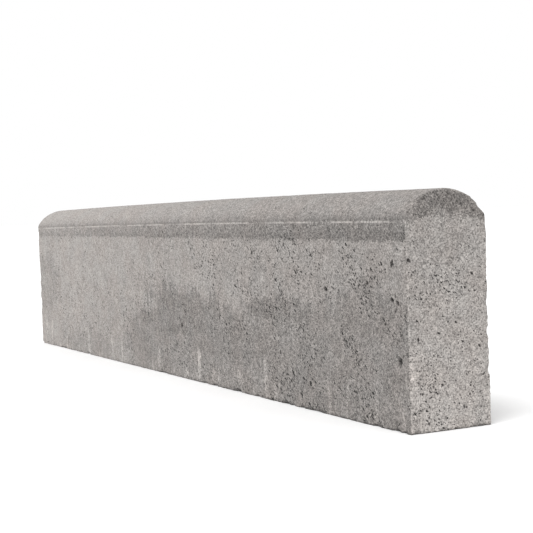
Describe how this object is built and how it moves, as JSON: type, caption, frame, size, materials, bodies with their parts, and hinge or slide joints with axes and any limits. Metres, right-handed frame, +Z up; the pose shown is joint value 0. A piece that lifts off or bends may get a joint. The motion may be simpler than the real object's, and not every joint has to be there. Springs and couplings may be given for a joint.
{
  "type": "concrete kerb stone",
  "caption": "Straight pressed-concrete garden kerb stone with a domed top, set upright in a bed and butted end to end to edge a path or lawn.",
  "frame": {"origin": "middle of the bed face, at mid length and mid thickness", "axes": "+X along the kerb line, +Y across the thickness, +Z up to the crown"},
  "size_m": [1, 0.08, 0.1999],
  "materials": {
    "concrete": "rough, pitted, damp-stained"
  },
  "bodies": {
    "root": {"kerb_stone": "concrete"}
  },
  "joints": []
}
